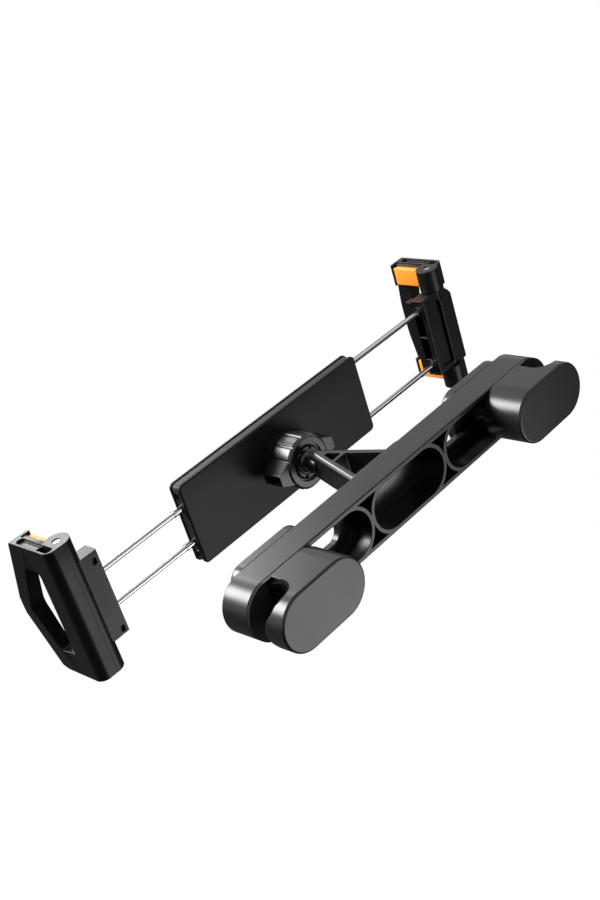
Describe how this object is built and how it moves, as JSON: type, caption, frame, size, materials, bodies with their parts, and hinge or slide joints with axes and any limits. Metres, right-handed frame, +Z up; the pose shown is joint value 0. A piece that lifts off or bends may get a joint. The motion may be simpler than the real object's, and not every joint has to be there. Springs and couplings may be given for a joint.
{
  "type": "headrest tablet mount",
  "caption": "Crossbar with sliding rubber-lined jaws for headrest posts, a ball-jointed arm, and an extending tablet holder with folding hooked brackets and orange rubber pads.",
  "frame": {"origin": "middle of the crossbar's front rim, where the mount meets the plane of the headrest posts", "axes": "+X along the crossbar to the right seen from the posts, +Y from the posts towards the tablet, +Z up along the posts"},
  "size_m": [0.2687, 0.1325, 0.066],
  "materials": {
    "crossbar": "satin dark grey moulded plastic",
    "arm": "glossy black moulded plastic",
    "ball_stud": "plain grey ball",
    "left_jaw": "satin dark grey moulded plastic",
    "left_post_liner": "black rubber",
    "left_rear_cap": "satin dark grey moulded plastic",
    "left_jaw_screws": "zinc-plated steel",
    "right_jaw": "satin dark grey moulded plastic",
    "right_post_liner": "black rubber",
    "right_rear_cap": "satin dark grey moulded plastic",
    "right_jaw_screws": "zinc-plated steel",
    "ball_liner": "natural acetal liner",
    "ball_socket": "glossy black moulded plastic",
    "clamp_nut": "glossy black moulded plastic",
    "holder_rear_cover": "fine-textured dark grey moulded plastic",
    "holder_core": "fine-textured dark grey moulded plastic",
    "holder_front_cover": "fine-textured dark grey moulded plastic",
    "cover_screws": "zinc-plated steel",
    "left_guide_tubes": "bright plated steel",
    "left_rods": "bright plated steel",
    "left_end_block": "fine-textured dark grey moulded plastic",
    "left_bracket": "fine-textured dark grey moulded plastic",
    "left_upper_pad": "orange soft rubber",
    "left_lower_pad": "orange soft rubber",
    "left_hinge_pin": "zinc-plated steel",
    "right_guide_tubes": "bright plated steel",
    "right_rods": "bright plated steel",
    "right_end_block": "fine-textured dark grey moulded plastic",
    "right_bracket": "fine-textured dark grey moulded plastic",
    "right_upper_pad": "orange soft rubber",
    "right_lower_pad": "orange soft rubber",
    "right_hinge_pin": "zinc-plated steel"
  },
  "bodies": {
    "frame": {"crossbar": "crossbar", "arm": "arm", "ball_stud": "ball_stud"},
    "left_jaw_slide": {"left_jaw": "left_jaw", "left_post_liner": "left_post_liner", "left_rear_cap": "left_rear_cap", "left_jaw_screws": "left_jaw_screws"},
    "right_jaw_slide": {"right_jaw": "right_jaw", "right_post_liner": "right_post_liner", "right_rear_cap": "right_rear_cap", "right_jaw_screws": "right_jaw_screws"},
    "yaw_cup": {"ball_liner": "ball_liner"},
    "pitch_cup": {"ball_socket": "ball_socket"},
    "holder": {"holder_rear_cover": "holder_rear_cover", "holder_core": "holder_core", "holder_front_cover": "holder_front_cover", "cover_screws": "cover_screws", "left_guide_tubes": "left_guide_tubes", "right_guide_tubes": "right_guide_tubes"},
    "nut": {"clamp_nut": "clamp_nut"},
    "left_end": {"left_rods": "left_rods", "left_end_block": "left_end_block"},
    "left_bracket_swing": {"left_bracket": "left_bracket", "left_upper_pad": "left_upper_pad", "left_lower_pad": "left_lower_pad", "left_hinge_pin": "left_hinge_pin"},
    "right_end": {"right_rods": "right_rods", "right_end_block": "right_end_block"},
    "right_bracket_swing": {"right_bracket": "right_bracket", "right_upper_pad": "right_upper_pad", "right_lower_pad": "right_lower_pad", "right_hinge_pin": "right_hinge_pin"}
  },
  "joints": [
    {"name": "left_jaw_travel", "type": "slide", "parent": "frame", "child": "left_jaw_slide", "axis": [1, 0, 0], "range_m": [0, 0.02]},
    {"name": "right_jaw_travel", "type": "slide", "parent": "frame", "child": "right_jaw_slide", "axis": [-1, 0, 0], "range_m": [0, 0.02]},
    {"name": "ball_yaw", "type": "hinge", "parent": "frame", "child": "yaw_cup", "pos_m": [0.0025, 0.068, 0], "axis": [0, 0, 1], "range_deg": [-18, 18]},
    {"name": "ball_pitch", "type": "hinge", "parent": "yaw_cup", "child": "pitch_cup", "pos_m": [0.0025, 0.068, 0], "axis": [1, 0, 0], "range_deg": [-18, 18]},
    {"name": "ball_spin", "type": "hinge", "parent": "pitch_cup", "child": "holder", "pos_m": [0.0025, 0.068, 0], "axis": [0, 1, 0], "continuous": true},
    {"name": "nut_turn", "type": "hinge", "parent": "holder", "child": "nut", "pos_m": [0.0025, 0.068, 0], "axis": [0, 1, 0], "continuous": true},
    {"name": "left_end_travel", "type": "slide", "parent": "holder", "child": "left_end", "axis": [-1, 0, 0], "range_m": [-0.041, 0.012]},
    {"name": "right_end_travel", "type": "slide", "parent": "holder", "child": "right_end", "axis": [1, 0, 0], "range_m": [-0.051, 0.008]},
    {"name": "left_bracket_fold", "type": "hinge", "parent": "left_end", "child": "left_bracket_swing", "pos_m": [-0.1175, 0.0825, 0], "axis": [0, 0, -1], "range_deg": [0, 90]},
    {"name": "right_bracket_fold", "type": "hinge", "parent": "right_end", "child": "right_bracket_swing", "pos_m": [0.1284, 0.0825, 0], "axis": [0, 0, 1], "range_deg": [0, 90]}
  ]
}
